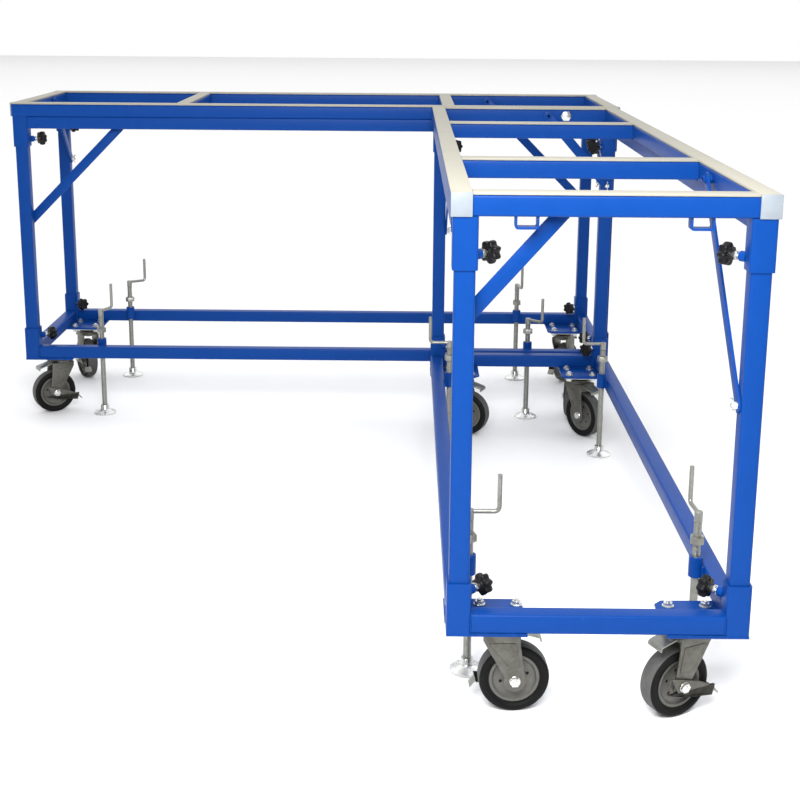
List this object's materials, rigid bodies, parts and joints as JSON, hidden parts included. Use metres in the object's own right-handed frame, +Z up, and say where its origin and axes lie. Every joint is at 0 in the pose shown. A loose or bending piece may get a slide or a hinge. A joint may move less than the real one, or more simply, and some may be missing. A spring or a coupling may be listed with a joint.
{
  "type": "fabrication table",
  "caption": "L-shaped open tube-frame fabrication table on braked swivel casters with screw jacks, corner braces, clamping knobs and pale wear strips along the top rails.",
  "frame": {"origin": "on the floor, at the middle of the rectangle round the L in plan", "axes": "+X to the right, +Y away from the viewer towards the main table, +Z up"},
  "size_m": [2, 2.612, 1.078],
  "materials": {
    "blue_paint": "satin",
    "cream_strip": "matte",
    "pale_cap": "matte",
    "zinc_steel": "satin",
    "tyre": "matte",
    "black_plastic": "satin"
  },
  "bodies": {
    "frame": {"main_top_frame": "blue_paint", "return_top_frame": "blue_paint", "main_base_frame": "blue_paint", "return_base_frame": "blue_paint", "legs": "blue_paint", "strap_loops": "blue_paint", "wear_strips": "cream_strip", "tube_end_caps": "pale_cap", "corner_braces": "blue_paint", "brace_fasteners": "zinc_steel", "caster_plates": "zinc_steel", "caster_bolts": "zinc_steel", "clamping_knobs": "black_plastic"},
    "caster_fork_main_front_left": {"caster_fork_main_front_left": "zinc_steel"},
    "caster_wheel_main_front_left": {"caster_wheel_main_front_left": "tyre"},
    "caster_brake_main_front_left": {"caster_brake_main_front_left": "zinc_steel"},
    "jack_foot_main_front_left": {"jack_foot_main_front_left": "zinc_steel"},
    "jack_screw_main_front_left": {"jack_screw_main_front_left": "zinc_steel"},
    "caster_fork_main_front_right": {"caster_fork_main_front_right": "zinc_steel"},
    "caster_wheel_main_front_right": {"caster_wheel_main_front_right": "tyre"},
    "caster_brake_main_front_right": {"caster_brake_main_front_right": "zinc_steel"},
    "jack_foot_main_front_right": {"jack_foot_main_front_right": "zinc_steel"},
    "jack_screw_main_front_right": {"jack_screw_main_front_right": "zinc_steel"},
    "caster_fork_main_back_right": {"caster_fork_main_back_right": "zinc_steel"},
    "caster_wheel_main_back_right": {"caster_wheel_main_back_right": "tyre"},
    "caster_brake_main_back_right": {"caster_brake_main_back_right": "zinc_steel"},
    "jack_foot_main_back_right": {"jack_foot_main_back_right": "zinc_steel"},
    "jack_screw_main_back_right": {"jack_screw_main_back_right": "zinc_steel"},
    "caster_fork_main_back_left": {"caster_fork_main_back_left": "zinc_steel"},
    "caster_wheel_main_back_left": {"caster_wheel_main_back_left": "tyre"},
    "caster_brake_main_back_left": {"caster_brake_main_back_left": "zinc_steel"},
    "jack_foot_main_back_left": {"jack_foot_main_back_left": "zinc_steel"},
    "jack_screw_main_back_left": {"jack_screw_main_back_left": "zinc_steel"},
    "caster_fork_return_front_right": {"caster_fork_return_front_right": "zinc_steel"},
    "caster_wheel_return_front_right": {"caster_wheel_return_front_right": "tyre"},
    "caster_brake_return_front_right": {"caster_brake_return_front_right": "zinc_steel"},
    "jack_foot_return_front_right": {"jack_foot_return_front_right": "zinc_steel"},
    "jack_screw_return_front_right": {"jack_screw_return_front_right": "zinc_steel"},
    "caster_fork_return_back_right": {"caster_fork_return_back_right": "zinc_steel"},
    "caster_wheel_return_back_right": {"caster_wheel_return_back_right": "tyre"},
    "caster_brake_return_back_right": {"caster_brake_return_back_right": "zinc_steel"},
    "jack_foot_return_back_right": {"jack_foot_return_back_right": "zinc_steel"},
    "jack_screw_return_back_right": {"jack_screw_return_back_right": "zinc_steel"},
    "caster_fork_return_back_left": {"caster_fork_return_back_left": "zinc_steel"},
    "caster_wheel_return_back_left": {"caster_wheel_return_back_left": "tyre"},
    "caster_brake_return_back_left": {"caster_brake_return_back_left": "zinc_steel"},
    "jack_foot_return_back_left": {"jack_foot_return_back_left": "zinc_steel"},
    "jack_screw_return_back_left": {"jack_screw_return_back_left": "zinc_steel"},
    "caster_fork_return_front_left": {"caster_fork_return_front_left": "zinc_steel"},
    "caster_wheel_return_front_left": {"caster_wheel_return_front_left": "tyre"},
    "caster_brake_return_front_left": {"caster_brake_return_front_left": "zinc_steel"},
    "jack_foot_return_front_left": {"jack_foot_return_front_left": "zinc_steel"},
    "jack_screw_return_front_left": {"jack_screw_return_front_left": "zinc_steel"}
  },
  "joints": [
    {"name": "swivel_main_front_left", "type": "hinge", "parent": "frame", "child": "caster_fork_main_front_left", "pos_m": [-0.9, 0.806, 0.18], "axis": [0, 0, 1], "continuous": true},
    {"name": "roll_main_front_left", "type": "hinge", "parent": "caster_fork_main_front_left", "child": "caster_wheel_main_front_left", "pos_m": [-0.92684, 0.78857, 0.0725], "axis": [0.5446, -0.8387, 0], "continuous": true},
    {"name": "brake_main_front_left", "type": "hinge", "parent": "caster_fork_main_front_left", "child": "caster_brake_main_front_left", "pos_m": [-0.92684, 0.78857, 0.0725], "axis": [0.5446, -0.8387, 0], "range_deg": [0, 5]},
    {"name": "foot_slide_main_front_left", "type": "slide", "parent": "frame", "child": "jack_foot_main_front_left", "axis": [0, 0, 1], "range_m": [-0.0201, 0.0601]},
    {"name": "crank_main_front_left", "type": "hinge", "parent": "jack_foot_main_front_left", "child": "jack_screw_main_front_left", "pos_m": [-0.745, 0.765, 0.2], "axis": [0, 0, 1], "range_deg": [-1800, 5400]},
    {"name": "swivel_main_front_right", "type": "hinge", "parent": "frame", "child": "caster_fork_main_front_right", "pos_m": [0.9, 0.806, 0.18], "axis": [0, 0, 1], "continuous": true},
    {"name": "roll_main_front_right", "type": "hinge", "parent": "caster_fork_main_front_right", "child": "caster_wheel_main_front_right", "pos_m": [0.89011, 0.77557, 0.0725], "axis": [0.9511, -0.309, 0], "continuous": true},
    {"name": "brake_main_front_right", "type": "hinge", "parent": "caster_fork_main_front_right", "child": "caster_brake_main_front_right", "pos_m": [0.89011, 0.77557, 0.0725], "axis": [0.9511, -0.309, 0], "range_deg": [0, 5]},
    {"name": "foot_slide_main_front_right", "type": "slide", "parent": "frame", "child": "jack_foot_main_front_right", "axis": [0, 0, 1], "range_m": [-0.0201, 0.0601]},
    {"name": "crank_main_front_right", "type": "hinge", "parent": "jack_foot_main_front_right", "child": "jack_screw_main_front_right", "pos_m": [0.725, 0.765, 0.2], "axis": [0, 0, 1], "range_deg": [-1800, 5400]},
    {"name": "swivel_main_back_right", "type": "hinge", "parent": "frame", "child": "caster_fork_main_back_right", "pos_m": [0.9, 1.206, 0.18], "axis": [0, 0, 1], "continuous": true},
    {"name": "roll_main_back_right", "type": "hinge", "parent": "caster_fork_main_back_right", "child": "caster_wheel_main_back_right", "pos_m": [0.916, 1.23371, 0.0725], "axis": [-0.866, 0.5, 0], "continuous": true},
    {"name": "brake_main_back_right", "type": "hinge", "parent": "caster_fork_main_back_right", "child": "caster_brake_main_back_right", "pos_m": [0.916, 1.23371, 0.0725], "axis": [-0.866, 0.5, 0], "range_deg": [0, 5]},
    {"name": "foot_slide_main_back_right", "type": "slide", "parent": "frame", "child": "jack_foot_main_back_right", "axis": [0, 0, 1], "range_m": [-0.0201, 0.0601]},
    {"name": "crank_main_back_right", "type": "hinge", "parent": "jack_foot_main_back_right", "child": "jack_screw_main_back_right", "pos_m": [0.725, 1.247, 0.2], "axis": [0, 0, 1], "range_deg": [-1800, 5400]},
    {"name": "swivel_main_back_left", "type": "hinge", "parent": "frame", "child": "caster_fork_main_back_left", "pos_m": [-0.9, 1.206, 0.18], "axis": [0, 0, 1], "continuous": true},
    {"name": "roll_main_back_left", "type": "hinge", "parent": "caster_fork_main_back_left", "child": "caster_wheel_main_back_left", "pos_m": [-0.91648, 1.23343, 0.0725], "axis": [-0.8572, -0.515, 0], "continuous": true},
    {"name": "brake_main_back_left", "type": "hinge", "parent": "caster_fork_main_back_left", "child": "caster_brake_main_back_left", "pos_m": [-0.91648, 1.23343, 0.0725], "axis": [-0.8572, -0.515, 0], "range_deg": [0, 5]},
    {"name": "foot_slide_main_back_left", "type": "slide", "parent": "frame", "child": "jack_foot_main_back_left", "axis": [0, 0, 1], "range_m": [-0.0201, 0.0601]},
    {"name": "crank_main_back_left", "type": "hinge", "parent": "jack_foot_main_back_left", "child": "jack_screw_main_back_left", "pos_m": [-0.745, 1.247, 0.2], "axis": [0, 0, 1], "range_deg": [-1800, 5400]},
    {"name": "swivel_return_front_right", "type": "hinge", "parent": "frame", "child": "caster_fork_return_front_right", "pos_m": [0.885, -1.206, 0.18], "axis": [0, 0, 1], "continuous": true},
    {"name": "roll_return_front_right", "type": "hinge", "parent": "caster_fork_return_front_right", "child": "caster_wheel_return_front_right", "pos_m": [0.85649, -1.22053, 0.0725], "axis": [0.454, -0.891, 0], "continuous": true},
    {"name": "brake_return_front_right", "type": "hinge", "parent": "caster_fork_return_front_right", "child": "caster_brake_return_front_right", "pos_m": [0.85649, -1.22053, 0.0725], "axis": [0.454, -0.891, 0], "range_deg": [0, 5]},
    {"name": "foot_slide_return_front_right", "type": "slide", "parent": "frame", "child": "jack_foot_return_front_right", "axis": [0, 0, 1], "range_m": [-0.0201, 0.0601]},
    {"name": "crank_return_front_right", "type": "hinge", "parent": "jack_foot_return_front_right", "child": "jack_screw_return_front_right", "pos_m": [0.926, -1.051, 0.2], "axis": [0, 0, 1], "range_deg": [-1800, 5400]},
    {"name": "swivel_return_back_right", "type": "hinge", "parent": "frame", "child": "caster_fork_return_back_right", "pos_m": [0.885, 0.594, 0.18], "axis": [0, 0, 1], "continuous": true},
    {"name": "roll_return_back_right", "type": "hinge", "parent": "caster_fork_return_back_right", "child": "caster_wheel_return_back_right", "pos_m": [0.90335, 0.56779, 0.0725], "axis": [0.8192, 0.5736, 0], "continuous": true},
    {"name": "brake_return_back_right", "type": "hinge", "parent": "caster_fork_return_back_right", "child": "caster_brake_return_back_right", "pos_m": [0.90335, 0.56779, 0.0725], "axis": [0.8192, 0.5736, 0], "range_deg": [0, 5]},
    {"name": "foot_slide_return_back_right", "type": "slide", "parent": "frame", "child": "jack_foot_return_back_right", "axis": [0, 0, 1], "range_m": [-0.0201, 0.0601]},
    {"name": "crank_return_back_right", "type": "hinge", "parent": "jack_foot_return_back_right", "child": "jack_screw_return_back_right", "pos_m": [0.926, 0.369, 0.2], "axis": [0, 0, 1], "range_deg": [-1800, 5400]},
    {"name": "swivel_return_back_left", "type": "hinge", "parent": "frame", "child": "caster_fork_return_back_left", "pos_m": [0.485, 0.594, 0.18], "axis": [0, 0, 1], "continuous": true},
    {"name": "roll_return_back_left", "type": "hinge", "parent": "caster_fork_return_back_left", "child": "caster_wheel_return_back_left", "pos_m": [0.514, 0.58048, 0.0725], "axis": [0.4226, 0.9063, 0], "continuous": true},
    {"name": "brake_return_back_left", "type": "hinge", "parent": "caster_fork_return_back_left", "child": "caster_brake_return_back_left", "pos_m": [0.514, 0.58048, 0.0725], "axis": [0.4226, 0.9063, 0], "range_deg": [0, 5]},
    {"name": "foot_slide_return_back_left", "type": "slide", "parent": "frame", "child": "jack_foot_return_back_left", "axis": [0, 0, 1], "range_m": [-0.0201, 0.0601]},
    {"name": "crank_return_back_left", "type": "hinge", "parent": "jack_foot_return_back_left", "child": "jack_screw_return_back_left", "pos_m": [0.444, 0.369, 0.2], "axis": [0, 0, 1], "range_deg": [-1800, 5400]},
    {"name": "swivel_return_front_left", "type": "hinge", "parent": "frame", "child": "caster_fork_return_front_left", "pos_m": [0.499, -1.206, 0.18], "axis": [0, 0, 1], "continuous": true},
    {"name": "roll_return_front_left", "type": "hinge", "parent": "caster_fork_return_front_left", "child": "caster_wheel_return_front_left", "pos_m": [0.53096, -1.20433, 0.0725], "axis": [-0.0523, 0.9986, 0], "continuous": true},
    {"name": "brake_return_front_left", "type": "hinge", "parent": "caster_fork_return_front_left", "child": "caster_brake_return_front_left", "pos_m": [0.53096, -1.20433, 0.0725], "axis": [-0.0523, 0.9986, 0], "range_deg": [0, 5]},
    {"name": "foot_slide_return_front_left", "type": "slide", "parent": "frame", "child": "jack_foot_return_front_left", "axis": [0, 0, 1], "range_m": [-0.0201, 0.0601]},
    {"name": "crank_return_front_left", "type": "hinge", "parent": "jack_foot_return_front_left", "child": "jack_screw_return_front_left", "pos_m": [0.444, -1.051, 0.2], "axis": [0, 0, 1], "range_deg": [-1800, 5400]}
  ],
  "couplings": [
    {"joint": "foot_slide_main_front_left", "follows": "crank_main_front_left", "m_per_rad": 0.00063662},
    {"joint": "foot_slide_main_front_right", "follows": "crank_main_front_right", "m_per_rad": 0.00063662},
    {"joint": "foot_slide_main_back_right", "follows": "crank_main_back_right", "m_per_rad": 0.00063662},
    {"joint": "foot_slide_main_back_left", "follows": "crank_main_back_left", "m_per_rad": 0.00063662},
    {"joint": "foot_slide_return_front_right", "follows": "crank_return_front_right", "m_per_rad": 0.00063662},
    {"joint": "foot_slide_return_back_right", "follows": "crank_return_back_right", "m_per_rad": 0.00063662},
    {"joint": "foot_slide_return_back_left", "follows": "crank_return_back_left", "m_per_rad": 0.00063662},
    {"joint": "foot_slide_return_front_left", "follows": "crank_return_front_left", "m_per_rad": 0.00063662}
  ]
}
